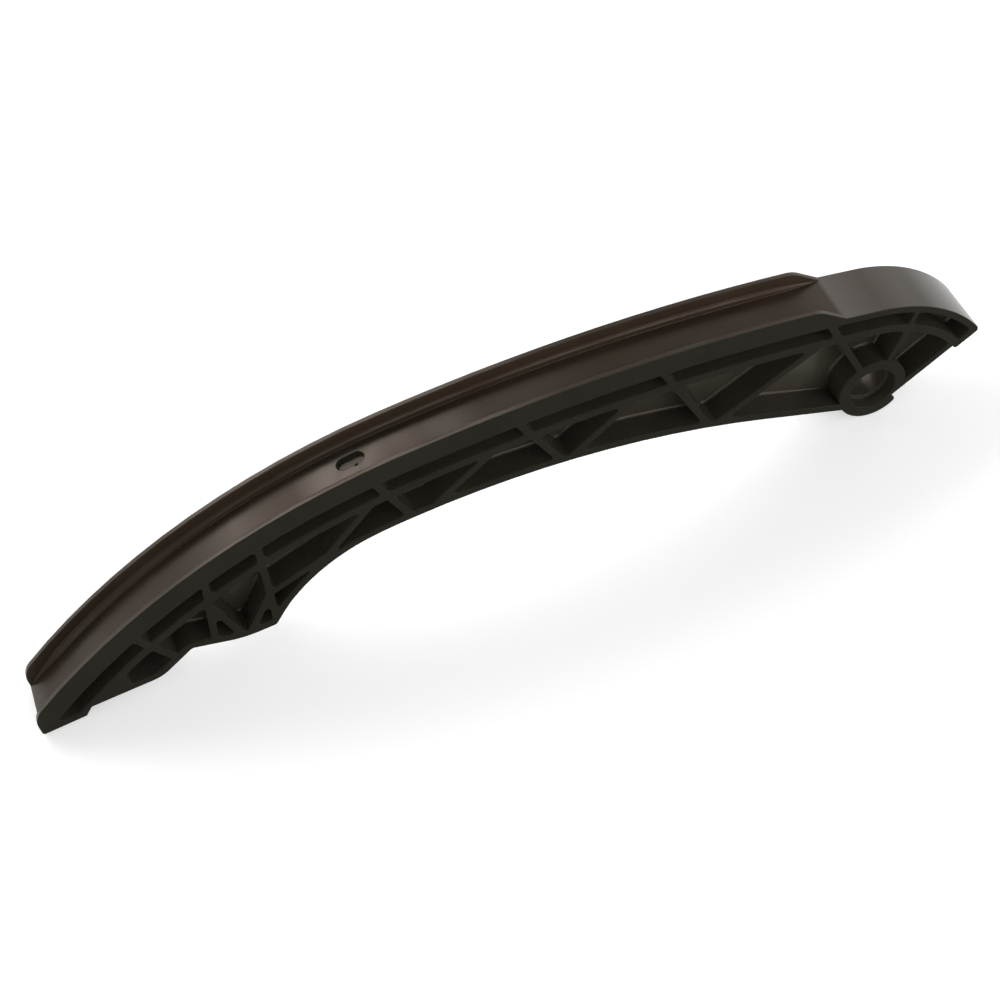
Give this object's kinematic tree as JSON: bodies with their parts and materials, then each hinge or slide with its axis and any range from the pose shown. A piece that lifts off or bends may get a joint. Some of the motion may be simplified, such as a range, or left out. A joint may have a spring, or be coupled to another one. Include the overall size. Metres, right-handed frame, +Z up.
{
  "type": "timing chain guide",
  "caption": "Curved timing chain guide rail moulded in black-brown plastic: lipped chain channel on top, ribbed truss sides, pivot boss at the nose end and a tensioner pad underneath.",
  "frame": {"origin": "middle of the rail's box in plan, at the height of the two feet, the free end's foot and the pivot boss", "axes": "+X runs along the rail from the free end to the nose above the pivot boss, +Y runs across it and away from the camera, +Z points up on the chain side"},
  "size_m": [0.2614, 0.017, 0.0514],
  "materials": {
    "rail_plastic": "moulded, satin"
  },
  "bodies": {
    "root": {"guide_rail": "rail_plastic"}
  },
  "joints": []
}
